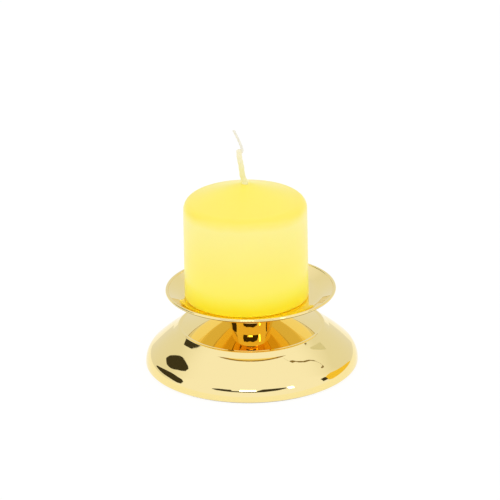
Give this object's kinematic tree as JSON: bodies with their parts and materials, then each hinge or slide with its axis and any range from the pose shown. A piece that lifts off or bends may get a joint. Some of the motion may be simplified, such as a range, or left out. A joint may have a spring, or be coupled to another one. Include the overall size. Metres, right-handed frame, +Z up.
{
  "type": "footed candle plate",
  "caption": "Footed round candle plate of polished gold-coloured metal, with a domed foot, short straight neck and shallow drip dish, holding a pillar candle on a spike.",
  "frame": {"origin": "on the table, under the middle of the foot", "axes": "+Z up along the plate's axis, -Y towards the front that the picture shows, +X to its right"},
  "size_m": [0.1, 0.1, 0.1163],
  "materials": {
    "gold": "polished",
    "steel": "zinc plated",
    "wax": "smooth poured wax",
    "cotton": "waxed braid",
    "felt": "pressed felt"
  },
  "bodies": {
    "plate": {"base_shell": "gold", "foot_pad": "felt", "neck": "gold", "drip_dish": "gold", "candle_spike": "gold", "clamp_plate": "steel", "lock_washer": "steel", "hex_nut": "steel"},
    "candle": {"candle_wax": "wax", "wick": "cotton"}
  },
  "joints": [
    {"name": "candle_lift", "type": "slide", "parent": "plate", "child": "candle", "axis": [0, 0, 1], "range_m": [0, 0.07]}
  ]
}
